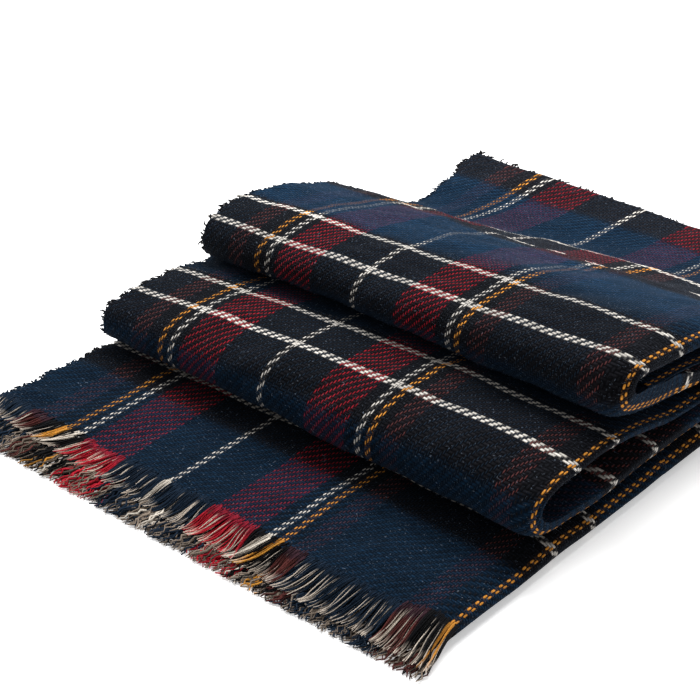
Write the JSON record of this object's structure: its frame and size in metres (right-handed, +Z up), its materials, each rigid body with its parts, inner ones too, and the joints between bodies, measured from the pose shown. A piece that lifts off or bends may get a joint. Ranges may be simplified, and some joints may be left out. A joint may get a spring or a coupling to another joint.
{
  "type": "folded tartan blanket scarf",
  "caption": "Fringed tartan blanket scarf, folded in half lengthwise and laid back and forth in a loose stack on a flat surface.",
  "frame": {"origin": "middle of the base of the folded scarf's box, on the surface that it lies on", "axes": "+Z up, +X across the folded width towards the long fold, +Y along the lengths from the fringed end to the far fold"},
  "size_m": [0.361, 0.4948, 0.1054],
  "materials": {
    "tartan_cloth": "brushed twill in navy and black with cream, yellow, red and brown lines",
    "fringe_yarn": "loose soft yarn in the cloth's own colours"
  },
  "bodies": {
    "root": {"bottom_length": "tartan_cloth", "middle_fold": "tartan_cloth", "top_fold": "tartan_cloth", "back_length": "tartan_cloth", "hidden_layers": "tartan_cloth", "fringe_upper": "fringe_yarn", "fringe_lower": "fringe_yarn"}
  },
  "joints": []
}
